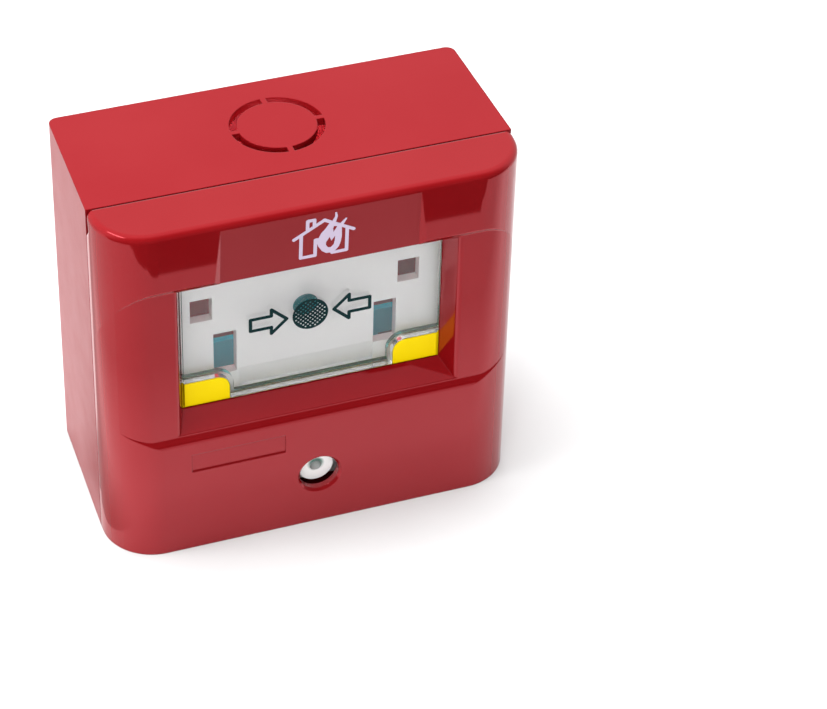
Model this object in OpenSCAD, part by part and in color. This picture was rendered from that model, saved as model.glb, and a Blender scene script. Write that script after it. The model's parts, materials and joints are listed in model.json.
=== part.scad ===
// Surface-mount manual call point with a resettable element.
// Origin: centre of the rear face. +X right, +Y into the wall, +Z up. Millimetres.

/* [Case] */
// Width of the case at the seam
case_w = 98; // [96:0.5:102]
// Height of the case at the seam
case_h = 92; // [90:0.5:96]
// Depth from the wall to the seam between box and cover
box_d = 36; // [36:0.5:38]
// Depth from the wall to the front of the cover
total_d = 50; // [50:0.5:52]
// How much smaller the box is at the wall, on each side
draft = 0.85; // [0:0.05:1]
// Wall thickness of the cover
wall = 2.2; // [2:0.1:2.4]
// Plan radius of the cover's upright corners
corner_r = 12; // [11:0.5:13]
// Gap at the seam between box and cover
seam = 0.3; // [0.2:0.05:0.4]
// Radius of the fillet round the cover's top
lip_r = 1.6; // [1:0.1:1.8]

/* [Window] */
// Half width of the window at its back edge
window_hw = 30.6; // [30.5:0.05:30.7]
// Height of the window's top edge
window_top = 29.4; // [29:0.1:29.6]
// Height of the sill's back edge
sill_z = -8.95; // [-9.1:0.05:-8.9]
// Slope of the sill, rise over depth
sill_slope = 0.532; // [0.5:0.01:0.56]
// Radius of the ridge under the sill
ridge_r = 4; // [3.8:0.1:4.2]
// How far the columns beside the window stand back
column_set = 0.8; // [0.6:0.1:1]
// Tilt of the panel above the window, in degrees
panel_tilt = 3.6; // [3:0.1:4]

/* [Openings] */
// Outer radius of the cable knockout ring
knock_r = 10.8; // [10:0.1:11]
// Width of the knockout slot
knock_slot = 1.8; // [1:0.1:2]
// Radius of the key hole in the front
key_hole_r = 4.7; // [4.5:0.1:4.8]
// Height of the key hole
key_z = -31.7; // [-31.8:0.1:-31.6]
// Radius of the release holes in the underside
release_r = 1.9; // [1.8:0.05:2]
// Half the distance between the release holes
release_x = 20.5; // [20:0.5:21]
// Radius of the cable entry in the rear wall
cable_r = 9; // [8.5:0.5:9.5]
// Height of the cable entry
cable_z = 14; // [13:0.5:16]
// Radius of the wall fixing holes
fixing_r = 2.2; // [2:0.1:2.4]
// Half the distance between the wall fixing holes
fixing_x = 30; // [29:0.5:31]

/* [Motion] */
// Largest opening angle of the cover
cover_open = 40; // [30:1:40]
// Travel of the reset plunger
reset_travel = 3; // [2.5:0.1:3]

/* [Hidden] */
$fn = 64;

half_w = case_w / 2;
half_h = case_h / 2;
cut = 0.5;                    // how far cutters run past a face
rear_wall = 2.5;              // thickness of the box's rear wall
cavity_hw = 46.3;             // half width of the box's cavity
cavity_hh = 43.6;             // half height of the box's cavity
rear_edge_r = 2.2;            // radius of the box's upright rear edges
knock_y = -18;              // centre of the knockouts
bridge = 1.3;                 // width of the knockout's bridges

hinge_y = -31.2;              // axis of the cover's hinge
hinge_z = 41.2;
hinge_pin_r = 0.8;
knuckle_r = 2.1;
arm_x = 31;                   // middle of each hinge arm
arm_w = 3.6;
lug_w = 2.7;                  // each side of an arm has a lug this wide
hinge_b = half_h - hinge_z;   // distance from the axis to the top face
relief_r = 7.1;               // the box's corner turns inside this radius

post_x = 41.5;                // posts that carry the mechanism plate
post_z = 38.5;
post_r = 3.5;
plate_f = -39;                // front of the mechanism plate
plate_b = -36.7;              // back of the mechanism plate
pocket_b = -38;               // bottom of the element springs' pockets
guide_x = -0.3;               // middle of the light guide and the plate's windows
tunnel_b = -43.3;             // rear end of the window's walls
element_f = -43.6;            // front of the clear element and the tabs
carrier_f = -43;              // front of the carrier's flange
carrier_b = -41;              // back of the carrier and the element
element_hw = 30.2;            // half width of the element in the window
flange_hw = 31.9;             // half width of its flange behind the window
element_top = 28.9;
element_bottom = -8.6;
tab_in = 19.5;                // inner side of each tab
tab_top = -2;
tab_r = 3;
pivot_y = -42;                // axis of the element's pivot
pivot_z = 31;
pivot_r = 1;

board_f = -25.6;              // front of the circuit board
board_t = 1.6;
board_x = 30.4;               // spacers and screws of the circuit board
spigot_r = 1.5;               // spacers plug into the plate with this radius
spigot = 0.8;                 // length of the spigots
lever_y = -32.7;              // axis of the switch lever
lever_z = -25;
lever_tilt = 7.5;
lever_len = 16.2;
finger_x = 25;
plunger_head_f = -46.8;
plunger_head_b = -44.5;
plunger_head_r = 4.2;
plunger_r = 2.5;
cone_f = -36;                 // the plunger tapers from here ...
cone_b = -31.5;               // ... to here
cone_tip_r = 0.6;
guide_f = -44;                // front of the plunger's guide
guide_r = 6;
guide_seat_r = 5.2;           // seat of the guide in the plate
guide_b = -38.2;              // back of the guide and seat of the reset spring
guide_rail_f = -42.6;         // front of the latch rails
slider_f = -33;               // front of the latch slider
slider_b = -31.6;
slider_gap = 0.12;
cone_slope = (plunger_r - cone_tip_r) / (cone_b - cone_f);
slider_z0 = key_z + plunger_r - cone_slope * (slider_f - cone_f) + slider_gap;

// Turns a shape drawn in X and Y into one drawn in X and Z that runs along +Y from y0 to y1
module along_y(y0, y1) {
    translate([0, y1, 0]) rotate([90, 0, 0]) linear_extrude(y1 - y0) children();
}

// Turns a shape drawn in Y and Z into one that runs along +X from x0 to x1
module along_x(x0, x1) {
    translate([x0, 0, 0]) rotate([90, 0, 90]) linear_extrude(x1 - x0) children();
}

// Cylinder along +Y
module rod_y(r, y0, y1, x = 0, z = 0) {
    translate([x, y1, z]) rotate([90, 0, 0]) cylinder(r = r, h = y1 - y0);
}

// Cylinder along +X
module rod_x(r, x0, x1, y = 0, z = 0) {
    translate([x0, y, z]) rotate([0, 90, 0]) cylinder(r = r, h = x1 - x0);
}

// Block between two corners
module block(a, b) {
    translate(a) cube(b - a);
}

// Repeats its children on both sides
module both_sides() {
    children();
    mirror([1, 0, 0]) children();
}

// Coil spring along +Y as a row of rings tied by short bars
module coil_y(r, wire_r, y0, y1, turns) {
    pitch = (y1 - y0 - 2 * wire_r) / (turns - 1);
    for (i = [0 : turns - 1])
        translate([0, y0 + wire_r + i * pitch, 0]) rotate([90, 0, 0])
            rotate_extrude($fn = 32) translate([r, 0]) circle(r = wire_r, $fn = 16);
    for (i = [0 : turns - 2])
        rotate([0, i * 180, 0])
            rod_y(wire_r * 0.7, y0 + wire_r + i * pitch, y0 + wire_r + (i + 1) * pitch, r);
}

// Plan outline of the cover with its front face at y = front
module cover_plan(front, back) {
    cy = front + corner_r;
    cx = half_w - corner_r;
    polygon([[-half_w, back], [-half_w, cy], [-cx, cy], [-cx, front], [cx, front], [cx, cy],
        [half_w, cy], [half_w, back]]);
    intersection() {
        for (s = [-1, 1]) translate([s * cx, cy]) circle(r = corner_r, $fn = 96);
        translate([-half_w, front]) square([case_w, back - front]);
    }
}

// The box's outside: plan and side outlines with draft, crossed
module box_outside() {
    rx = half_w - draft;
    rz = half_h - draft;
    intersection() {
        translate([0, 0, -half_h - cut]) linear_extrude(case_h + 2 * cut) {
            polygon([[-half_w, -box_d], [half_w, -box_d], [rx, -rear_edge_r],
                [rx - rear_edge_r, 0], [-rx + rear_edge_r, 0], [-rx, -rear_edge_r]]);
            for (s = [-1, 1])
                translate([s * (rx - rear_edge_r), -rear_edge_r]) circle(r = rear_edge_r);
        }
        along_x(-half_w - cut, half_w + cut)
            polygon([[-box_d, -half_h], [0, -rz], [0, rz], [-box_d, half_h]]);
    }
}

// Slot ring of a cable knockout with four bridges, cut through a wall
module knockout(z0, z1) {
    translate([0, knock_y, z0]) linear_extrude(z1 - z0) difference() {
        circle(r = knock_r);
        circle(r = knock_r - knock_slot);
        square([3 * knock_r, bridge], center = true);
        square([bridge, 3 * knock_r], center = true);
    }
}

// A lug beside a hinge arm, from the top wall down past the hinge axis
module hinge_lug(x0) {
    difference() {
        block([x0, hinge_y - 2.4, hinge_z - 2.6], [x0 + lug_w, hinge_y + 2.4, cavity_hh + 0.4]);
        rod_x(hinge_pin_r + 0.02, x0 - cut, x0 + lug_w + cut, hinge_y, hinge_z);
    }
}

module back_box() {
    color([0.78, 0.10, 0.12]) {
        difference() {
            box_outside();
            block([-cavity_hw, -box_d - cut, -cavity_hh], [cavity_hw, -rear_wall, cavity_hh]);
            knockout(cavity_hh - cut, half_h + cut);
            knockout(-half_h - cut, -cavity_hh + cut);
            rod_y(cable_r, -rear_wall - cut, cut, 0, cable_z);
            for (s = [-1, 1]) rod_y(fixing_r, -rear_wall - cut, cut, s * fixing_x, -12);
        }
        // Posts for the mechanism plate
        for (s = [-1, 1], t = [-1, 1]) difference() {
            rod_y(post_r, plate_b, -rear_wall + 0.2, s * post_x, t * post_z);
            rod_y(1.25, plate_b - cut, -22, s * post_x, t * post_z);
        }
        // Ribs that locate the cover's sides
        both_sides() block([cavity_hw - 1.2, -38, -26], [cavity_hw + 0.2, -30, 26]);
        both_sides() {
            hinge_lug(arm_x - arm_w / 2 - 0.3 - lug_w);
            hinge_lug(arm_x + arm_w / 2 + 0.3);
        }
    }
}

// Side profile of the panel under the window: front face, ridge and sloping sill
module panel_profile() {
    ridge_cy = -total_d + ridge_r;
    run = atan(sill_slope);
    // height of the ridge's centre, so that the sill meets its back edge
    ridge_cz = sill_z - sill_slope * (element_f - ridge_cy) - ridge_r / cos(run);
    top_y = ridge_cy - ridge_r * sin(run);
    top_z = ridge_cz + ridge_r * cos(run);
    polygon([[-total_d, -half_h], [-total_d, ridge_cz], [ridge_cy, ridge_cz], [top_y, top_z],
        [element_f, sill_z], [-box_d - seam, sill_z], [-box_d - seam, -half_h]]);
    translate([ridge_cy, ridge_cz]) circle(r = ridge_r, $fn = 96);
}

// Side profile of the brow above the window, cut off by a slope underneath
module brow_profile() {
    set_y = -total_d + column_set;
    polygon([[-total_d, window_top + 1.6 * column_set], [-total_d, half_h + cut],
        [-box_d - seam, half_h + cut],
        [-box_d - seam, window_top - 1.6 * (-box_d - seam - set_y)]]);
}

// Plan outline of the columns beside the window; they run out into the corners
module column_plan() {
    front = -total_d + column_set;
    r = corner_r - 1.8;
    cx = half_w - corner_r + 1.52;
    side_y = front + 4.7;
    back = -box_d - seam;
    intersection() {
        cover_plan(-total_d, back);
        union() {
            polygon([[-half_w, back], [-half_w, side_y], [-cx, side_y], [-cx, front], [cx, front],
                [cx, side_y], [half_w, side_y], [half_w, back]]);
            for (s = [-1, 1]) translate([s * cx, front + r]) circle(r = r, $fn = 96);
        }
    }
}

// Section from the inside at a to the outside at b, with its top outer edge rounded
module lip_section(a, b) {
    top = half_h - lip_r;
    in = b - sign(b - a) * lip_r;
    polygon([[a, -half_h], [b, -half_h], [b, top], [in, top], [in, half_h], [a, half_h]]);
    translate([in, top]) circle(r = lip_r);
}

// The cover's block with upright rounded corners and a lip fillet round its top
module cover_block() {
    back = -box_d - seam;
    cx = half_w - corner_r;
    cy = -total_d + corner_r;
    along_x(-cx, cx) lip_section(back, -total_d);
    both_sides() {
        along_y(cy, back) lip_section(cx, half_w);
        intersection() {
            translate([cx, cy, 0]) rotate_extrude($fn = 96) lip_section(0, corner_r);
            block([cx, -total_d - cut, -half_h - cut], [half_w + cut, cy, half_h + cut]);
        }
    }
}

module cover_outside() {
    intersection() {
        cover_block();
        along_x(-half_w - cut, half_w + cut) {
            panel_profile();
            brow_profile();
        }
    }
    translate([0, 0, -half_h]) linear_extrude(half_h + 40) column_plan();
}

// Plan of one half of the window's hole: flared side with a rounded front edge
module window_plan() {
    flare = 0.39;
    r = 1.3;
    face_y = -total_d + column_set;
    slant = sqrt(1 + flare * flare);
    corner_x = window_hw + flare * (element_f - face_y);
    // distance from the corner to where the rounding starts
    reach = r * (slant - flare);
    start = reach + 0.02;
    centre = [corner_x + reach, face_y + r];
    difference() {
        polygon([[-1, tunnel_b + 2], [window_hw, tunnel_b + 2], [window_hw, element_f],
            [corner_x - start * flare / slant, face_y + start / slant], centre,
            [centre[0], -total_d - 2], [-1, -total_d - 2]]);
        translate(centre) circle(r = r, $fn = 48);
    }
}

// The window's hole: its plan crossed with the sill's slope
module window_hole() {
    front = -total_d - 2;
    intersection() {
        translate([0, 0, -20]) linear_extrude(60) both_sides() window_plan();
        along_x(-40, 40)
            polygon([[front, sill_z + sill_slope * (front - element_f)], [element_f, sill_z],
                [tunnel_b + 2, sill_z], [tunnel_b + 2, window_top], [front, window_top]]);
    }
}

// Moves a shape onto the tilted panel above the window; the panel's plane is at y = 0
module on_panel() {
    translate([0, -total_d - 0.04, 45]) rotate([panel_tilt, 0, 0]) children();
}

// Shallow panel above the window, deeper towards its lower edge
module panel_recess() {
    on_panel() translate([0, 0, -17.6]) linear_extrude(17.6)
        polygon([[-22.9, 0], [-25.8, -1.6], [25.8, -1.6], [22.9, 0]]);
}

// Swan-neck arm from the cover's front wall to the hinge knuckle
module hinge_arm() {
    difference() {
        along_x(arm_x - arm_w / 2, arm_x + arm_w / 2) {
            translate([hinge_y, hinge_z]) circle(r = knuckle_r);
            polygon([[hinge_y - 1.6, hinge_z], [hinge_y + 1.6, hinge_z], [hinge_y + 1.6, 34.2],
                [-48.2, 34.2], [-48.2, 37], [hinge_y - 1.6, 37]]);
        }
        rod_x(hinge_pin_r + 0.05, arm_x - 4, arm_x + 4, hinge_y, hinge_z);
    }
}

// Space that the box's front corner turns through in the cover's own frame
module hinge_relief() {
    intersection() {
        rod_x(relief_r, -half_w - cut, half_w + cut, hinge_y, hinge_z);
        translate([0, hinge_y, hinge_z]) rotate([cover_open, 0, 0])
            block([-half_w - cut, -hinge_b - seam, -10], [half_w + cut, 10, 10]);
    }
}

module front_cover() {
    inner_f = -total_d + wall;
    color([0.80, 0.12, 0.13]) {
        difference() {
            union() {
                difference() {
                    cover_outside();
                    intersection() {
                        block([-half_w + wall, inner_f, -half_h + wall],
                            [half_w - wall, 0, half_h - wall]);
                        translate([0, 0, -half_h]) linear_extrude(case_h) {
                            block_w = half_w - wall;
                            r = corner_r - wall;
                            polygon([[-block_w, 0], [-block_w, inner_f + r],
                                [-block_w + r, inner_f + r], [-block_w + r, inner_f],
                                [block_w - r, inner_f], [block_w - r, inner_f + r],
                                [block_w, inner_f + r], [block_w, 0]]);
                            for (s = [-1, 1]) translate([s * (block_w - r), inner_f + r])
                                circle(r = r, $fn = 96);
                        }
                    }
                }
                // Walls of the window
                block([-34.6, inner_f - 0.8, -13.5], [34.6, tunnel_b, window_top + 2]);
            }
            window_hole();
            panel_recess();
            hinge_relief();
            // Room for the carrier's pivot bosses
            both_sides() block([32.8, -44.9, 28], [35, tunnel_b + cut, 32]);
            block([-30.5, -51, -22.8], [-8.3, -total_d + 0.35, -17.7]);
            rod_y(key_hole_r, -51, inner_f + cut, 0, key_z);
            // Lead-in of the key hole
            translate([0, -total_d - 0.1, key_z]) rotate([-90, 0, 0])
                cylinder(r1 = key_hole_r + 0.7, r2 = key_hole_r, h = 0.7);
            for (s = [-1, 1]) translate([s * release_x, -43, -half_h - cut])
                cylinder(r = release_r, h = wall + 2 * cut);
        }
        both_sides() hinge_arm();
    }
}

// Flat line of the pictogram from a to b
module stroke(a, b, w) {
    d = b - a;
    translate(a) rotate(atan2(d[1], d[0])) translate([0, -w / 2]) square([norm(d), w]);
    for (q = [a, b]) translate(q) circle(r = w / 2, $fn = 24);
}

// A run of strokes through points
module strokes(points, w) {
    for (i = [0 : len(points) - 2]) stroke(points[i], points[i + 1], w);
}

// House outline with a flame, white on the panel; heights are measured down from its top
module pictogram() {
    line = 0.8;
    color([0.96, 0.95, 0.98]) on_panel() along_y(-0.1, 0) {
        strokes([[-6.3, -7.2], [0.6, -3.1], [7.4, -7.2]], line);
        strokes([[-3.25, -5], [-3.25, -2.55], [-1.7, -2.55], [-1.7, -4]], line);
        strokes([[-4.65, -6.4], [-4.65, -12.8], [-1.35, -12.8], [-1.35, -8.4], [-0.4, -8.4]], line);
        strokes([[5.9, -6.4], [5.9, -12.9], [2.6, -12.9]], line);
        difference() {
            polygon([[-0.7, -10.3], [-1, -9.3], [-0.7, -8.2], [-0.1, -6.8], [1, -5.5], [1.8, -4.2],
                [3.3, -4.5], [4.6, -5.4], [4.7, -8.6], [4.5, -10.1], [4.1, -11.4], [3.4, -12.3],
                [2.4, -12.8], [1.2, -12.7], [0.2, -11.9]]);
            polygon([[1.9, -8.2], [2.3, -9.4], [3.2, -8.1], [3.1, -9.5], [2.9, -10.6],
                [2.3, -11.3], [1.6, -11.2], [1.1, -10.4], [1.1, -9.5]]);
            polygon([[2.8, -5.3], [3.6, -5.5], [3.3, -6.1], [2.75, -7], [2.6, -6]]);
        }
        polygon([[2.3, -4], [3, -2.6], [3, -1.5], [3.4, -1.5], [3.6, -2.6], [3.2, -4.2]]);
        polygon([[4.2, -4.9], [5.5, -3.6], [5.8, -3.7], [5, -5.3]]);
    }
}

// Guide rail with a lip, beside a release latch
module latch_rail(side) {
    x0 = release_x + side * 3.2;
    x1 = release_x + side * 4.6;
    x2 = release_x + side * 2.2;
    block([min(x0, x1), guide_rail_f, -38.4], [max(x0, x1), plate_f, -28]);
    block([min(x2, x1), guide_rail_f, -38.4], [max(x2, x1), guide_rail_f + 1.2, -28]);
}

module mechanism_plate() {
    color([0.93, 0.93, 0.92]) difference() {
        union() {
            block([-36, plate_f, -42], [36, plate_b, 32]);
            both_sides() {
                block([35, plate_f, 28], [45.2, plate_b, 42]);
                block([35, plate_f, -42], [45.2, plate_b, -34]);
            }
        }
        // Windows: two small, two tall
        translate([guide_x, 0, 0]) both_sides() {
            block([21.9, plate_f - 1, 11.8], [27, plate_b + 1, 18]);
            block([16.3, plate_f - 1, -4.4], [21.7, plate_b + 1, 7.4]);
        }
        both_sides() {
            rod_y(1.7, plate_f - 1, plate_b + 1, post_x, post_z);
            rod_y(1.7, plate_f - 1, plate_b + 1, post_x, -post_z);
            rod_y(2.3, plate_f - 1, pocket_b, 29.5, -10.4);
            for (z = [-10.5, -32]) rod_y(spigot_r, plate_b - spigot, plate_b + 1, board_x, z);
        }
        // Folded lower strip between the tall windows
        along_x(-16, 16) polygon([[plate_f - 1, -3.8], [plate_f, -3.8], [plate_f + 1.3, -9.6],
            [plate_f - 1, -9.6]]);
        rod_y(2.97, plate_f - 1, plate_b + 1, guide_x, 10.8);
        // Slots for the carrier's finger and the catch nose
        block([finger_x - 1.9, plate_f - 1, -12.2], [finger_x + 1.9, plate_b + 1, -7.9]);
        block([-2.9, plate_f - 1, -16.2], [2.9, plate_b + 1, -11]);
        rod_y(guide_seat_r, plate_f - 1, guide_b, 0, key_z);
        rod_y(plunger_r + 0.05, plate_f, plate_b + 1, 0, key_z);
    }
}

// Brackets on the plate that hold the element's pivot pins
module pivot_brackets() {
    color([0.93, 0.93, 0.92]) both_sides() difference() {
        block([35.6, -44.4, 28.6], [38.1, plate_f, 33.4]);
        rod_x(pivot_r + 0.02, 35, 39, pivot_y, pivot_z);
    }
}

// Rails of the release latches on the plate's front, and the perches of their springs
module latch_guides() {
    color([0.93, 0.93, 0.92]) both_sides() {
        latch_rail(-1);
        latch_rail(1);
        block([release_x - 3, guide_rail_f, -24.6], [release_x + 3, plate_f, -23]);
    }
}

// Rails of the latch slider, on the back of the plate
module slider_rails() {
    color([0.93, 0.93, 0.92]) both_sides() block([7.2, plate_b, -28], [9, slider_b, -16]);
}

// Spacers that carry the circuit board behind the plate
module board_spacers() {
    color([0.90, 0.90, 0.88]) for (s = [-1, 1], z = [-10.5, -32]) difference() {
        union() {
            rod_y(2.6, plate_b, board_f, s * board_x, z);
            rod_y(spigot_r - 0.02, plate_b - spigot + 0.1, plate_b + 0.2, s * board_x, z);
        }
        rod_y(1.1, -32, board_f + 1, s * board_x, z);
    }
}

// Bush that guides the plunger's head and holds the reset spring
module plunger_guide() {
    color([0.90, 0.90, 0.88]) difference() {
        union() {
            rod_y(guide_r, guide_f, plate_f, 0, key_z);
            rod_y(guide_seat_r - 0.02, plate_f - 0.2, guide_b, 0, key_z);
        }
        rod_y(plunger_head_r + 0.05, guide_f - 1, guide_b + 1, 0, key_z);
    }
}

// Outline of the clear element, hw to each side: a rectangle with a step round each tab
module element_outline(hw, inset) {
    r = tab_r + 0.1 + inset;
    cx = tab_in + tab_r;
    cz = tab_top - tab_r;
    low = element_bottom + inset;
    difference() {
        translate([-hw, low]) square([2 * hw, element_top - inset - low]);
        both_sides() {
            translate([cx, low - cut]) square([hw, cz + r - low + cut]);
            translate([cx - r, low - cut]) square([r + 0.1, cz - low + cut]);
            translate([cx, cz]) circle(r = r);
        }
    }
}

// One tab of the carrier with its rounded inner top corner
module tab_outline() {
    polygon([[tab_in, element_bottom], [element_hw - 0.1, element_bottom],
        [element_hw - 0.1, tab_top], [tab_in + tab_r, tab_top], [tab_in, tab_top - tab_r]]);
    translate([tab_in + tab_r, tab_top - tab_r]) circle(r = tab_r);
}

module element_carrier() {
    color([0.98, 0.85, 0.02]) {
        difference() {
            union() {
                difference() {
                    block([-34, carrier_f, -12], [34, carrier_b, 33]);
                    block([-element_hw - 0.1, carrier_f - 1, -9],
                        [element_hw + 0.1, carrier_b + 1, element_top]);
                    block([-flange_hw - 0.1, carrier_f - 1, tab_top],
                        [flange_hw + 0.1, carrier_b + 1, element_top + 0.1]);
                }
                both_sides() along_y(element_f, carrier_b) tab_outline();
                both_sides() block([tab_in, carrier_f, -9.2],
                    [element_hw - 0.1, carrier_b, element_bottom + 0.2]);
                // Pivot bosses at the top corners
                both_sides() rod_x(2.2, 33.3, 35.2, pivot_y, pivot_z);
            }
            for (s = [-1, 1]) rod_x(pivot_r + 0.05, s * 33.5 - 2, s * 33.5 + 2, pivot_y, pivot_z);
        }
        // Finger that works the switch lever
        block([finger_x - 1.5, carrier_b - 0.5, -11.4], [finger_x + 1.5, -35.9, -9.1]);
    }
}

// Clear front with a rim behind it; a flange on each side sits in the carrier
module clear_element() {
    t = 1.4;
    bead = 1.1;
    color([0.85, 0.92, 0.90, 0.35]) difference() {
        union() {
            along_y(element_f, carrier_b) element_outline(element_hw, 0);
            block([-flange_hw, carrier_f, tab_top + 0.1], [flange_hw, carrier_b, element_top]);
        }
        along_y(element_f + t, carrier_b + cut) element_outline(flange_hw - bead, bead);
    }
}

// Outline arrow that points to +X with its tip at the origin
module arrow() {
    w = 0.8;
    strokes([[0, 0], [-3.6, 3.4], [-3.6, 1.6], [-8.5, 1.6], [-8.5, -1.6], [-3.6, -1.6],
        [-3.6, -3.4], [0, 0]], w);
}

// Disc with a diagonal dot pattern between two arrows, printed on the element's front
module operating_symbol() {
    disc_r = 4.2;
    pitch = 0.56;
    color([0.02, 0.22, 0.22]) along_y(element_f - 0.08, element_f) translate([-0.45, 11.15]) {
        difference() {
            circle(r = disc_r, $fn = 96);
            for (i = [-6 : 6], k = [-6 : 6])
                if (norm([i + k, i - k]) * pitch < disc_r - 0.6)
                    translate([i + k, i - k] * pitch) circle(r = 0.21, $fn = 16);
        }
        translate([-5.55, 0]) arrow();
        translate([5.55, 0]) mirror([1, 0]) arrow();
    }
}

module element_pivot_pins() {
    color([0.75, 0.76, 0.78]) both_sides() rod_x(pivot_r, 31.9, 38.1, pivot_y, pivot_z);
}

module element_springs() {
    color([0.75, 0.76, 0.78]) for (s = [-1, 1]) translate([s * 29.5, 0, -10.4])
        coil_y(1.7, 0.22, carrier_b, pocket_b, 5);
}

module light_guide() {
    color([0.10, 0.45, 0.47]) {
        rod_y(2.95, plate_f, -35, guide_x, 10.8);
        rod_y(3.6, plate_b, -35, guide_x, 10.8);
    }
}

module alarm_led() {
    color([0.80, 0.05, 0.05]) translate([0, 0, 10.8]) {
        rod_y(2.9, board_f - 1, board_f);
        rod_y(2.5, -32, board_f - 0.5);
        translate([0, -32, 0]) intersection() {
            sphere(r = 2.5);
            block([-3, -3, -3], [3, 0.2, 3]);
        }
    }
}

module circuit_board() {
    color([0.02, 0.36, 0.40]) difference() {
        union() {
            block([-34.5, board_f, -36], [34.5, board_f + board_t, -6.5]);
            block([-6, board_f, -7], [6, board_f + board_t, 16]);
        }
        for (s = [-1, 1], z = [-10.5, -32])
            rod_y(1.6, board_f - 1, board_f + board_t + 1, s * board_x, z);
    }
}

// Pan-head screw along +Y: the head's top is at y, the shank runs to +Y
module pan_screw(x, y, z, head_r, shank_r, length) {
    difference() {
        rod_y(head_r, y, y + 1.6, x, z);
        block([x - head_r, y - 1, z - 0.4], [x + head_r, y + 0.8, z + 0.4]);
    }
    rod_y(shank_r, y + 1.5, y + 1.6 + length, x, z);
}

module board_screws() {
    color([0.72, 0.73, 0.75]) for (s = [-1, 1], z = [-10.5, -32]) mirror([0, 1, 0])
        pan_screw(s * board_x, -board_f - board_t - 1.6, z, 2.3, 1.05, 5);
}

module mechanism_screws() {
    color([0.72, 0.73, 0.75]) for (s = [-1, 1], t = [-1, 1])
        pan_screw(s * post_x, plate_f - 1.6, t * post_z, 2.8, 1.2, 12);
}

module micro_switch() {
    color([0.10, 0.10, 0.11]) difference() {
        union() {
            block([22, -31.5, -26.4], [28, board_f, -13.6]);
            // Button under the lever
            rod_y(0.8, -32.4, -31.4, finger_x, -17.5);
            // Ears for the lever's pin
            for (x = [22, 27.2]) block([x, -33.6, -26], [x + 0.8, -31.4, -24]);
        }
        rod_x(0.42, 21, 29, lever_y, lever_z);
    }
}

module switch_lever() {
    color([0.78, 0.79, 0.80]) translate([0, lever_y, lever_z]) rotate([lever_tilt, 0, 0])
        difference() {
            union() {
                rod_x(0.75, 23.1, 26.9);
                block([23.1, -0.75, 0], [26.9, -0.25, lever_len]);
            }
            rod_x(0.45, 22, 28);
        }
}

module lever_pin() {
    color([0.78, 0.79, 0.80]) rod_x(0.4, 22, 28, lever_y, lever_z);
}

module reset_plunger() {
    color([0.94, 0.95, 0.94]) difference() {
        union() {
            rod_y(plunger_head_r, plunger_head_f, plunger_head_b, 0, key_z);
            rod_y(plunger_r, plunger_head_b - 0.2, cone_f, 0, key_z);
            translate([0, cone_f, key_z]) rotate([-90, 0, 0])
                cylinder(r1 = plunger_r, r2 = cone_tip_r, h = cone_b - cone_f);
        }
        // Socket for the key's tip
        rod_y(1.4, plunger_head_f - 1, plunger_head_f + 6, 0, key_z);
    }
}

module reset_spring() {
    color([0.75, 0.76, 0.78]) translate([0, 0, key_z])
        coil_y(3.15, 0.3, plunger_head_b, guide_b, 6);
}

module latch_slider() {
    color([0.90, 0.90, 0.88]) {
        block([-7, slider_f, slider_z0], [7, slider_b, -12.9]);
        block([-2.5, -38.8, -15.4], [2.5, slider_f + 0.2, -12.9]);
    }
}

// Latch above a release hole; a tool through the hole lifts its foot
module release_latch(x) {
    color([0.90, 0.90, 0.88]) translate([x, 0, 0]) {
        block([-3, -41.2, -42.8], [3, plate_f - 0.2, -30]);
        block([-3, -45.4, -42.8], [3, -41, -41.2]);
    }
}

module release_latch_left() {
    release_latch(-release_x);
}

module release_latch_right() {
    release_latch(release_x);
}

module latch_springs() {
    color([0.75, 0.76, 0.78]) for (s = [-1, 1]) translate([s * release_x, -40.4, 0])
        rotate([90, 0, 0]) coil_y(0.9, 0.18, -30, -24.6, 6);
}

module terminal_blocks() {
    back = board_f + board_t;
    color([0.10, 0.42, 0.55]) for (s = [-1, 1]) difference() {
        block([s * 16 - 10, back, -34], [s * 16 + 10, back + 9, -24]);
        for (i = [-1.5 : 1.5]) {
            block([s * 16 + i * 5 - 1.7, back + 3, -35], [s * 16 + i * 5 + 1.7, back + 7, -29]);
            translate([s * 16 + i * 5, back + 5, -26]) cylinder(r = 1.6, h = 3);
        }
    }
}

module terminal_screws() {
    color([0.72, 0.73, 0.75]) for (s = [-1, 1], i = [-1.5 : 1.5])
        translate([s * 16 + i * 5, board_f + board_t + 5, -26]) difference() {
            cylinder(r = 1.5, h = 1.2);
            translate([-2, -0.25, 0.7]) cube([4, 0.5, 1]);
        }
}

module address_switch() {
    color([0.75, 0.10, 0.12]) block([-20, board_f - 3, -22], [-8, board_f, -15]);
    color([0.95, 0.95, 0.95]) for (i = [0 : 7])
        block([-19.2 + i * 1.4, board_f - 3.6, -19.6], [-18.4 + i * 1.4, board_f - 2.9, -17.4]);
}

module board_capacitor() {
    color([0.12, 0.13, 0.20]) rod_y(3.1, board_f - 7, board_f, 14, -24);
}

module board_resistors() {
    color([0.75, 0.66, 0.50]) for (i = [0 : 2]) translate([-19, board_f - 1.2, -26.5 - i * 3]) {
        rod_x(1, -3, 3);
        rod_x(0.3, -4.4, 4.4);
        for (x = [-4.2, 4.2]) rod_y(0.3, 0, 1.2, x);
    }
}

module cover_hinge_pins() {
    x0 = arm_x - arm_w / 2 - 0.3 - lug_w;
    x1 = arm_x + arm_w / 2 + 0.3 + lug_w;
    color([0.75, 0.76, 0.78]) both_sides() rod_x(hinge_pin_r, x0, x1, hinge_y, hinge_z);
}

module cable_grommet() {
    color([0.08, 0.08, 0.08]) difference() {
        union() {
            rod_y(cable_r - 0.02, -rear_wall, -0.4, 0, cable_z);
            rod_y(cable_r + 1.6, -rear_wall - 1.4, -rear_wall, 0, cable_z);
        }
        rod_y(4, -5, 1, 0, cable_z);
    }
}

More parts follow.
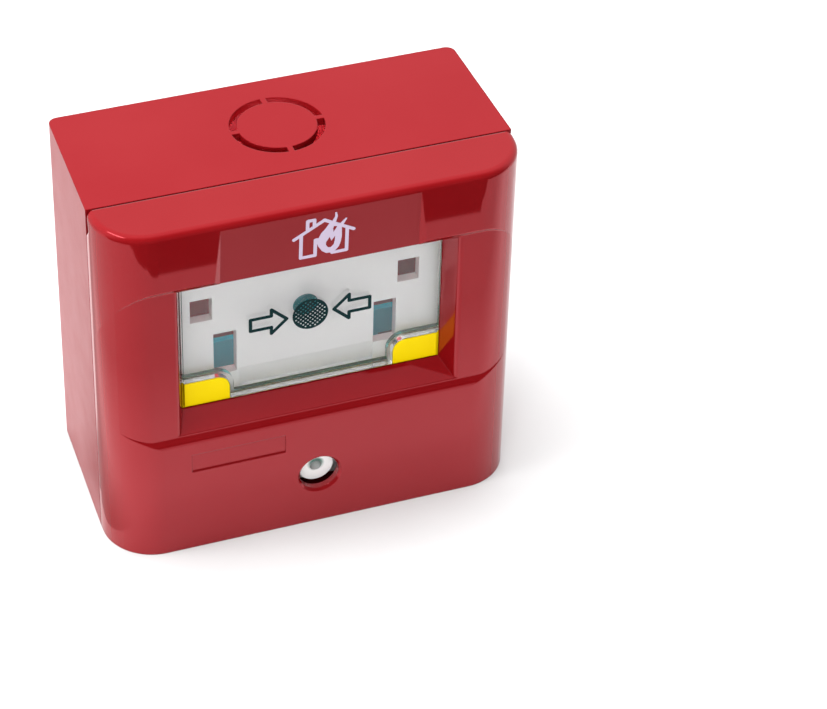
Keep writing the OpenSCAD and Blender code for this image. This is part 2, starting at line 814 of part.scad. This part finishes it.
back_box();
front_cover();
pictogram();
mechanism_plate();
pivot_brackets();
latch_guides();
slider_rails();
board_spacers();
plunger_guide();
element_carrier();
clear_element();
operating_symbol();
element_pivot_pins();
element_springs();
light_guide();
alarm_led();
circuit_board();
board_screws();
mechanism_screws();
micro_switch();
switch_lever();
lever_pin();
reset_plunger();
reset_spring();
latch_slider();
release_latch_left();
release_latch_right();
latch_springs();
terminal_blocks();
terminal_screws();
address_switch();
board_capacitor();
board_resistors();
cover_hinge_pins();
cable_grommet();
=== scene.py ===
import json, math
import bpy, bmesh
from mathutils import Vector, Matrix


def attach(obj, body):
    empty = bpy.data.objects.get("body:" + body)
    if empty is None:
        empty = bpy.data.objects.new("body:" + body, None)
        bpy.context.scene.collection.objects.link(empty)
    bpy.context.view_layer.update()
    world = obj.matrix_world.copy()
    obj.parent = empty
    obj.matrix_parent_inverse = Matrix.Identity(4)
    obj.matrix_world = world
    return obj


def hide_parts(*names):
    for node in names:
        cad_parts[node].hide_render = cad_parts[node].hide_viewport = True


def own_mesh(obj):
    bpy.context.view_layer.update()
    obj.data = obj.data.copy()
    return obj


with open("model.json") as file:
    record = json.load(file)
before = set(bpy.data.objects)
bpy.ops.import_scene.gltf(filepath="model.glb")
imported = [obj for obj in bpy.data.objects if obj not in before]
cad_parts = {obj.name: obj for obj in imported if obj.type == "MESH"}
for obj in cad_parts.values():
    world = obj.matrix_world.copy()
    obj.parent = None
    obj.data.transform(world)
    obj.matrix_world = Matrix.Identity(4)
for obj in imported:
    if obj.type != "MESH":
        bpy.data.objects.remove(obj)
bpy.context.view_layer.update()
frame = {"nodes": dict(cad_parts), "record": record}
scene = bpy.context.scene
scene.view_settings.view_transform = "Standard"
MM = 0.001


# ---------------------------------------------------------------- camera
CAMERA_AZIMUTH = -0.3624  # radians from straight in front, to the left
CAMERA_ELEVATION = 0.6947
CAMERA_ROLL = 0.0324
CAMERA_DISTANCE = 0.7982
CAMERA_TARGET = Vector((0.0411, 0.0, -0.0460))
SENSOR_MM = 36
LENS_MM = 139.7


def make_camera():
    """Camera at the photo's viewpoint, looking down on the object from the front left."""
    flat = math.cos(CAMERA_ELEVATION)
    back = Vector((math.sin(CAMERA_AZIMUTH) * flat, -math.cos(CAMERA_AZIMUTH) * flat,
                   math.sin(CAMERA_ELEVATION)))
    right = (-back).cross(Vector((0, 0, 1))).normalized()
    up = right.cross(-back)
    rolled_right = right * math.cos(CAMERA_ROLL) + up * math.sin(CAMERA_ROLL)
    rolled_up = up * math.cos(CAMERA_ROLL) - right * math.sin(CAMERA_ROLL)
    place = Matrix((rolled_right, rolled_up, back)).transposed().to_4x4()
    place.translation = CAMERA_TARGET + back * CAMERA_DISTANCE
    data = bpy.data.cameras.new("camera")
    data.sensor_width = SENSOR_MM
    data.lens = LENS_MM
    data.clip_start = 0.02
    data.clip_end = 20
    camera = bpy.data.objects.new("camera", data)
    camera.matrix_world = place
    scene.collection.objects.link(camera)
    scene.camera = camera


# ---------------------------------------------------------------- node helpers
# places of the colour sockets on a Mix node
MIX_COLOR_A = 6
MIX_COLOR_B = 7
MIX_COLOR_RESULT = 2


class Nodes:
    """Short names for the node calls that every material uses."""

    def __init__(self, name):
        self.mat = bpy.data.materials.new(name)
        self.mat.use_nodes = True
        self.t = self.mat.node_tree
        self.bsdf = self.t.nodes["Principled BSDF"]
        self.coord = self.t.nodes.new("ShaderNodeTexCoord").outputs["Object"]

    def new(self, kind, **props):
        n = self.t.nodes.new("ShaderNode" + kind)
        for k, v in props.items():
            setattr(n, k, v)
        return n

    def link(self, a, b):
        self.t.links.new(a, b)

    def put(self, socket, value):
        if hasattr(value, "is_linked") or hasattr(value, "links"):
            self.link(value, socket)
        else:
            socket.default_value = value

    def noise(self, scale, detail=2.0, rough=0.5, vec=None):
        n = self.new("TexNoise")
        self.link(vec or self.coord, n.inputs["Vector"])
        n.inputs["Scale"].default_value = scale
        n.inputs["Detail"].default_value = detail
        n.inputs["Roughness"].default_value = rough
        return n.outputs["Fac"]

    def remap(self, fac, a, b, lo, hi):
        n = self.new("MapRange")
        self.link(fac, n.inputs["Value"])
        for k, v in (("From Min", a), ("From Max", b), ("To Min", lo), ("To Max", hi)):
            n.inputs[k].default_value = v
        return n.outputs["Result"]

    def math(self, op, a, b=0.0):
        n = self.new("Math", operation=op)
        self.put(n.inputs[0], a)
        self.put(n.inputs[1], b)
        return n.outputs[0]

    def mix(self, fac, a, b):
        """Colour a at fac 0 and b at fac 1."""
        n = self.new("Mix", data_type="RGBA")
        self.put(n.inputs["Factor"], fac)
        for i, v in ((MIX_COLOR_A, a), (MIX_COLOR_B, b)):
            self.put(n.inputs[i], (*v, 1.0) if isinstance(v, tuple) and len(v) == 3 else v)
        return n.outputs[MIX_COLOR_RESULT]

    def bump(self, height, strength, dist, normal=None):
        n = self.new("Bump")
        self.link(height, n.inputs["Height"])
        n.inputs["Strength"].default_value = strength
        n.inputs["Distance"].default_value = dist
        if normal is not None:
            self.link(normal, n.inputs["Normal"])
        return n.outputs["Normal"]

    def bevel(self, radius, samples=6):
        n = self.new("Bevel", samples=samples)
        n.inputs["Radius"].default_value = radius
        return n.outputs["Normal"]

    def edge(self, bevel_normal):
        """1 on a rounded edge, 0 on flats."""
        geo = self.new("NewGeometry")
        dot = self.new("VectorMath", operation="DOT_PRODUCT")
        self.link(bevel_normal, dot.inputs[0])
        self.link(geo.outputs["Normal"], dot.inputs[1])
        return self.remap(dot.outputs["Value"], 0.99, 0.80, 0.0, 1.0)


# ---------------------------------------------------------------- masks
KEY_DIP_Z = -31.3 * MM
KEY_DIP_INNER = 1.5 * MM
KEY_DIP_OUTER = 2.2 * MM
KEY_DIP_BOTTOM = -1.6 * MM  # from the dip's centre
KEY_DIP_TOP = 0.9 * MM
KEY_PAINTED_SHADE = (0.06, 0.16, 0.125)  # greenish painted shade in the dip of the key
PANEL_HALF_WIDTH = 22.95 * MM
PANEL_BOTTOM = 29.42 * MM
PANEL_TOP = 44.4 * MM
PANEL_SLOPE = 0.06291  # lean of the panel, per unit of height
PANEL_FRONT = -46.5 * MM


def painted_dip_shade(n):
    """Mask of the painted shade in the key's face: 1 at the top of the dip, weaker further down, 0 outside
    the dip.
    """
    axes = n.new("SeparateXYZ")
    n.link(n.coord, axes.inputs[0])
    across = axes.outputs["X"]
    up = n.math("SUBTRACT", axes.outputs["Z"], KEY_DIP_Z)
    far = n.math("SQRT", n.math("ADD", n.math("MULTIPLY", across, across), n.math("MULTIPLY", up, up)))
    inside = n.remap(far, KEY_DIP_INNER, KEY_DIP_OUTER, 1.0, 0.0)
    return n.math("MULTIPLY", inside, n.remap(up, KEY_DIP_BOTTOM, KEY_DIP_TOP, 0.35, 1.0))


def etched_panel(n):
    """1 on the etched panel over the window, 0 elsewhere on the cover."""
    axes = n.new("SeparateXYZ")
    n.link(n.coord, axes.inputs[0])
    across = n.math("LESS_THAN", n.math("ABSOLUTE", axes.outputs["X"]), PANEL_HALF_WIDTH)
    high = n.math("GREATER_THAN", axes.outputs["Z"], PANEL_BOTTOM)
    # the panel's plane, and not the wall behind it
    depth = n.math("ADD", axes.outputs["Y"], n.math("MULTIPLY", axes.outputs["Z"], PANEL_SLOPE))
    flat = n.math("LESS_THAN", depth, PANEL_FRONT)
    low = n.math("LESS_THAN", axes.outputs["Z"], PANEL_TOP)
    return n.math("MULTIPLY", n.math("MULTIPLY", across, high), n.math("MULTIPLY", flat, low))


# ---------------------------------------------------------------- materials
def plastic(name, color, rough, vary=0.05, grain=6000, grain_depth=0.004, radius=0.3, wear=0.25,
            coat=0.0, spec=0.5, ior=1.5, wave=0.0, tint=None, matte=None, painted_shade=None):
    """Moulded plastic: rounded edges, fine grain, faint colour and gloss variation, lighter worn edges, and
    painted shade where a mask is given.
    """
    n = Nodes(name)
    b = n.bsdf
    soft = n.bevel(radius * MM)
    edge = n.edge(soft)
    big = n.noise(28, 3, 0.55)
    fine = n.noise(900, 4, 0.6)
    dark = tuple(c * (1 - vary) for c in color)
    light = tuple(min(1, c * (1 + vary) + 0.002) for c in color)
    body = n.mix(n.remap(big, 0.35, 0.65, 0, 1), dark, light)
    worn = tuple(min(1, c * 1.15 + 0.02) for c in color)
    scuff = n.math("MULTIPLY", edge, n.remap(fine, 0.4, 0.7, 0.0, wear))
    base = n.mix(scuff, body, worn)
    # painted shade, mixed over the colour where the given mask is 1
    if painted_shade:
        base = n.mix(painted_shade(n), base, KEY_PAINTED_SHADE)
    n.link(base, b.inputs["Base Color"])
    r = n.remap(n.noise(140, 4, 0.6), 0.3, 0.7, rough * 0.94, rough * 1.06)
    r = n.math("ADD", r, n.math("MULTIPLY", scuff, 0.12))
    if matte:
        r = n.math("MAXIMUM", r, n.math("MULTIPLY", matte(n), 0.5))
    n.link(r, b.inputs["Roughness"])
    normal = n.bump(n.noise(grain, 2, 0.5), 0.35, grain_depth * MM, soft)
    if wave:
        normal = n.bump(n.noise(45, 1, 0.4), 0.5, wave * MM, normal)
    n.link(normal, b.inputs["Normal"])
    b.inputs["Specular IOR Level"].default_value = spec
    if tint:
        b.inputs["Specular Tint"].default_value = (*tint, 1)
    b.inputs["Coat Weight"].default_value = coat
    b.inputs["Coat Roughness"].default_value = 0.06
    b.inputs["IOR"].default_value = ior
    return n.mat


def metal(name, color=(0.62, 0.63, 0.65), rough=0.28, radius=0.08):
    """Plated metal with fine streaks."""
    n = Nodes(name)
    b = n.bsdf
    soft = n.bevel(radius * MM, 4)
    streak = n.new("Mapping")
    n.link(n.coord, streak.inputs["Vector"])
    streak.inputs["Scale"].default_value = (400, 4000, 4000)
    fine = n.noise(1.0, 3, 0.6, streak.outputs["Vector"])
    dull = tuple(c * 0.94 for c in color)
    n.link(n.mix(n.remap(fine, 0.3, 0.7, 0, 1), dull, color), b.inputs["Base Color"])
    n.link(n.remap(fine, 0.3, 0.7, rough * 0.92, rough * 1.12), b.inputs["Roughness"])
    n.link(n.bump(fine, 0.2, 0.003 * MM, soft), b.inputs["Normal"])
    b.inputs["Metallic"].default_value = 1.0
    return n.mat


def clear(name, rough=0.02, ior=1.49):
    """Clear moulding: water-clear faces, sea-green where one looks in through its edges."""
    n = Nodes(name)
    b = n.bsdf
    geo = n.new("NewGeometry")
    axes = n.new("SeparateXYZ")
    n.link(geo.outputs["Normal"], axes.inputs[0])
    side = n.remap(n.math("ABSOLUTE", axes.outputs["Y"]), 0.3, 0.8, 1.0, 0.0)
    n.link(n.mix(side, (1.0, 1.0, 1.0), (0.04, 0.34, 0.33)), b.inputs["Base Color"])
    n.link(n.remap(n.noise(400, 3, 0.6), 0.35, 0.7, rough * 0.6, rough * 1.6), b.inputs["Roughness"])
    b.inputs["IOR"].default_value = ior
    b.inputs["Transmission Weight"].default_value = 1.0
    n.link(n.bump(n.noise(60, 1, 0.4), 0.3, 0.006 * MM), b.inputs["Normal"])
    return n.mat


def use(node, mat):
    """The CAD node's only material."""
    o = frame["nodes"][node]
    o.data.materials.clear()
    o.data.materials.append(mat)


# ---------------------------------------------------------------- studio
FLOOR_Z = -0.04605  # just under the case
SHEET_Z = -0.0455
SHEET_REACH = 1.2
SHEET_BACK = 0.9
# where the dark flag, a painted dark reflection, ends and the fading card starts, from right to left in
# front of the case
FLAG_EDGE = [(SHEET_REACH, -0.1492), (-0.01, -0.1492), (-0.054, -0.1545), (-0.076, -0.1505),
             (-0.109, -0.1410), (-0.136, -0.126), (-0.167, -0.102), (-0.196, -0.060), (-SHEET_REACH, -0.060)]
CARD_NEAR_EDGE = [(-SHEET_REACH, SHEET_BACK), (-0.052, SHEET_BACK), (-0.052, -0.055), (-0.04, -0.066),
                  (SHEET_REACH, -0.066)]
# the card, a painted reflection, darkens with the distance from a place beside the case
CARD_CORNER = (-0.036, -0.034)
CARD_FADE = (0.038, 0.080)
CARD_PALE = (0.60, 0.60, 0.60)
CARD_GREY = (0.31, 0.31, 0.31)
# the stretch of it that the cover's left side mirrors is darker still, a painted dark reflection on that
# side
CARD_DARK = (0.16, 0.16, 0.16)
SIDE_X = -0.049
MIRROR_SLOPE = 2.64  # run of the left side's mirror rays along y, per metre along x
STRETCH_REAR = (-0.022, -0.026)
STRETCH_FRONT = (-0.10, -0.055)
STRETCH_Y = (-0.055, -0.040)
STRETCH_STRENGTH = 0.8


def make_world():
    """Bright walls behind and beside the object, a dim room on the front side."""
    world = bpy.data.worlds.new("studio")
    scene.world = world
    world.use_nodes = True
    t = world.node_tree
    background = t.nodes["Background"]
    coord = t.nodes.new("ShaderNodeTexCoord")
    axes = t.nodes.new("ShaderNodeSeparateXYZ")
    t.links.new(coord.outputs["Generated"], axes.inputs[0])
    ramp = t.nodes.new("ShaderNodeMapRange")
    ramp.interpolation_type = "SMOOTHSTEP"
    t.links.new(axes.outputs["Y"], ramp.inputs["Value"])
    for k, v in (("From Min", -0.65), ("From Max", 0.1), ("To Min", 0.10), ("To Max", 0.80)):
        ramp.inputs[k].default_value = v
    t.links.new(ramp.outputs["Result"], background.inputs["Strength"])
    background.inputs["Color"].default_value = (0.98, 0.985, 1.0, 1)


def sheet(name, outline, z, mat):
    """Flat sheet of the stage."""
    bm = bmesh.new()
    bm.faces.new([bm.verts.new((x, y, z)) for x, y in outline])
    me = bpy.data.meshes.new(name)
    bm.to_mesh(me)
    bm.free()
    o = bpy.data.objects.new(name, me)
    scene.collection.objects.link(o)
    me.materials.append(mat)
    return o


def paper_finish(n):
    """Matt surface with a fine tooth."""
    n.bsdf.inputs["Roughness"].default_value = 0.8
    n.link(n.bump(n.noise(1500, 2, 0.5), 0.2, 0.02 * MM), n.bsdf.inputs["Normal"])


def make_floor():
    n = Nodes("floor_paper")
    fine = n.noise(60, 3, 0.5)
    n.link(n.mix(fine, (0.54, 0.54, 0.54), (0.57, 0.57, 0.57)), n.bsdf.inputs["Base Color"])
    paper_finish(n)
    sheet("floor", [(-1.5, -1.5), (1.5, -1.5), (1.5, 1.5), (-1.5, 1.5)], FLOOR_Z, n.mat)


def make_flags():
    """Painted reflections: sheets that only show in the glossy reflections, a dark flag in front and a card
    that fades beside it.
    """
    # the dark flag paints a dark reflection across the front of the case and cover
    n = Nodes("flag_painted_reflection")
    weave = n.noise(300, 3, 0.5)
    n.link(n.mix(weave, (0.006, 0.006, 0.007), (0.012, 0.012, 0.013)), n.bsdf.inputs["Base Color"])
    n.bsdf.inputs["Roughness"].default_value = 0.9
    outline = [(-SHEET_REACH, -SHEET_REACH), (SHEET_REACH, -SHEET_REACH), *FLAG_EDGE]
    flag = sheet("flag_front", outline, SHEET_Z, n.mat)

    # the card paints grey reflections beside the case, darker in the stretch that the cover's left side
    # mirrors
    n = Nodes("card_painted_reflection")
    axes = n.new("SeparateXYZ")
    n.link(n.coord, axes.inputs[0])
    dx, dy = (n.math("MAXIMUM", n.math("SUBTRACT", corner, axes.outputs[axis]), 0.0)
              for corner, axis in zip(CARD_CORNER, "XY"))
    away = n.math("SQRT", n.math("ADD", n.math("MULTIPLY", dx, dx), n.math("MULTIPLY", dy, dy)))
    fade = n.remap(away, *CARD_FADE, 0.0, 1.0)
    mirrored = n.math("ADD", axes.outputs["Y"],
                      n.math("MULTIPLY", n.math("SUBTRACT", axes.outputs["X"], SIDE_X), MIRROR_SLOPE))
    stretch = n.math("MULTIPLY", n.remap(mirrored, *STRETCH_REAR, 0.0, 1.0),
                     n.remap(mirrored, *STRETCH_FRONT, 0.0, STRETCH_STRENGTH))
    stretch = n.math("MULTIPLY", stretch, n.remap(axes.outputs["Y"], *STRETCH_Y, 0.0, 1.0))
    n.link(n.mix(stretch, n.mix(fade, CARD_PALE, CARD_GREY), CARD_DARK), n.bsdf.inputs["Base Color"])
    paper_finish(n)
    outline = [*reversed(FLAG_EDGE), *reversed(CARD_NEAR_EDGE)]
    card = sheet("card_painted_reflection", outline, SHEET_Z, n.mat)
    for o in (flag, card):
        o.visible_camera = False
        o.visible_diffuse = False
        o.visible_shadow = False
        o.visible_transmission = False


def softbox(name, pos, aim, width, height, power, glossy=False):
    """Rectangular light at pos turned towards aim, power in watts."""
    data = bpy.data.lights.new(name, "AREA")
    data.shape = "RECTANGLE"
    data.size, data.size_y, data.energy = width, height, power
    o = bpy.data.objects.new(name, data)
    o.location = pos
    o.rotation_mode = "QUATERNION"
    o.rotation_quaternion = (Vector(aim) - Vector(pos)).to_track_quat("-Z", "Y")
    o.visible_glossy = glossy
    scene.collection.objects.link(o)


def make_lights():
    softbox("softbox_top", (-0.1, 0.1, 1.0), (0, 0, 0), 0.9, 0.9, 21)
    softbox("softbox_front", (-0.3, -1.1, 0.7), (0, 0, 0), 1.0, 0.8, 13)
    softbox("softbox_left", (-0.9, 0.0, 0.35), (0, 0, 0), 0.5, 0.8, 6)
    # the highlight along the top edge of the cover
    softbox("strip_left", (-0.60, -0.07, 0.80), (0, 0, 0.04), 0.50, 0.15, 1.6, glossy=True)
    # these lift the dark inside of the case a little
    softbox("inside_fill", (0.0, -0.0262, 0.026), (0, -0.001, 0.020), 0.05, 0.012, 0.035)
    softbox("board_fill", (0.0, -0.0345, -0.008), (0, -0.0256, -0.009), 0.05, 0.010, 0.0007)


make_camera()
make_world()
make_floor()
make_flags()
make_lights()


# ---------------------------------------------------------------- materials of the nodes
RED = (0.18, 0.0022, 0.0038)
COVER_TINT = (1.0, 0.20, 0.23)
CASE_TINT = (1.0, 0.13, 0.17)
steel = metal("steel")
by_slot = {
    "case_red": plastic("case_red", RED, 0.32, vary=0.02, grain=7000, grain_depth=0.003, radius=0.35,
                        wear=0.1, spec=1.0, ior=1.75, tint=CASE_TINT),
    "cover_red": plastic("cover_red", RED, 0.035, vary=0.02, grain=3000, grain_depth=0.0004, radius=0.35,
                         wear=0.06, wave=0.003, spec=1.0, ior=1.75, tint=COVER_TINT, matte=etched_panel),
    "white_plastic": plastic("white_plastic", (0.86, 0.855, 0.85), 0.42, vary=0.01, grain=9000,
                             grain_depth=0.001, radius=0.2),
    "print_white": plastic("print_white", (0.49, 0.41, 0.54), 0.5, vary=0.03, radius=0.03, wear=0.1),
    "yellow_plastic": plastic("yellow_plastic", (0.80, 0.60, 0.0), 0.35, vary=0.02, radius=0.25, wear=0.0,
                              spec=0.05),
    "print_teal": plastic("print_teal", (0.0, 0.020, 0.022), 0.45, radius=0.02, spec=0.1, wear=0.0),
    "clear_plastic": clear("clear_plastic"),
    "guide_teal": plastic("guide_teal", (0.0, 0.20, 0.23), 0.15),
    "steel": steel,
    "led_red": plastic("led_red", (0.55, 0.01, 0.01), 0.12, radius=0.2, coat=0.5),
    "board": plastic("board", (0.0, 0.34, 0.43), 0.55, radius=0.1, spec=0.2),
    "black_plastic": plastic("black_plastic", (0.02, 0.02, 0.022), 0.4, radius=0.2),
    "terminal_plastic": plastic("terminal_plastic", (0.02, 0.12, 0.28), 0.35, radius=0.2),
    "component": plastic("component", (0.45, 0.33, 0.18), 0.4, radius=0.2),
    "grommet_rubber": plastic("grommet_rubber", (0.018, 0.018, 0.018), 0.6),
}
for part in frame["record"]["subparts"]:
    use(part["node"], by_slot[part["material_slot"]])
# the key's face gets a painted shade in its dip
use("reset_plunger", plastic("key_white", (0.86, 0.85, 0.845), 0.42, vary=0.01, radius=0.2, painted_shade=painted_dip_shade))


# ---------------------------------------------------------------- springs
STEPS_PER_TURN = 28
WIRE_SIDES = 10
END_TURNS = 0.8  # closed turns at each end


def wind(bm, start, axis, length, radius, wire, turns):
    """Tube of round wire wound from start along axis, its turns closer together at the ends."""
    side = Vector((0, 0, 1)) if abs(axis.z) < 0.5 else Vector((1, 0, 0))
    other = axis.cross(side)
    steps = int(turns * STEPS_PER_TURN)
    rings = []
    for i in range(steps + 1):
        turn = turns * i / steps
        rise = min(1, max(0, (turn - END_TURNS) / (turns - 2 * END_TURNS)))
        rise = rise * rise * (3 - 2 * rise) * 0.25 + rise * 0.75
        angle = 2 * math.pi * turn
        out = side * math.cos(angle) + other * math.sin(angle)
        centre = start + out * radius + axis * (wire + (length - 2 * wire) * rise)
        ring = []
        for k in range(WIRE_SIDES):
            a = 2 * math.pi * k / WIRE_SIDES
            ring.append(bm.verts.new(centre + (out * math.cos(a) + axis * math.sin(a)) * wire))
        rings.append(ring)
    for a, b in zip(rings, rings[1:]):
        for k in range(WIRE_SIDES):
            following = (k + 1) % WIRE_SIDES
            bm.faces.new((a[k], a[following], b[following], b[k]))
    for ring in (rings[0], rings[-1]):
        bm.faces.new(ring)
    bmesh.ops.recalc_face_normals(bm, faces=bm.faces)


def spring(name, node, start, axis, length, radius, wire, turns):
    """Wire spring in place of a node, attached to the case."""
    start, axis, length = Vector(start) * MM, Vector(axis), length * MM
    bm = bmesh.new()
    wind(bm, start, axis, length, radius * MM, wire * MM, turns)
    me = bpy.data.meshes.new(name)
    bm.to_mesh(me)
    bm.free()
    for face in me.polygons:
        face.use_smooth = True
    me.materials.append(steel)
    o = bpy.data.objects.new(name, me)
    scene.collection.objects.link(o)
    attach(o, "case")
    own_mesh(o)
    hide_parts(node)


SIDES = ((-1, "left"), (1, "right"))
for sign, label in SIDES:
    # the carrier turns 2.5 degrees about its pins, which moves it 1.95 mm at the springs' lower edge
    spring("element_spring_" + label, "element_springs", (sign * 29.5, -40.98, -10.4), (0, 1, 0), 2.96,
           1.65, 0.16, 3.2)
spring("reset_spring_coil", "reset_spring", (0, -44.48, -31.7), (0, 1, 0), 6.26,
       3.1, 0.28, 5.5)
for sign, label in SIDES:
    spring("latch_spring_" + label, "latch_springs", (sign * 20.5, -40.4, -29.98), (0, 0, 1), 5.36,
           0.88, 0.15, 7.5)
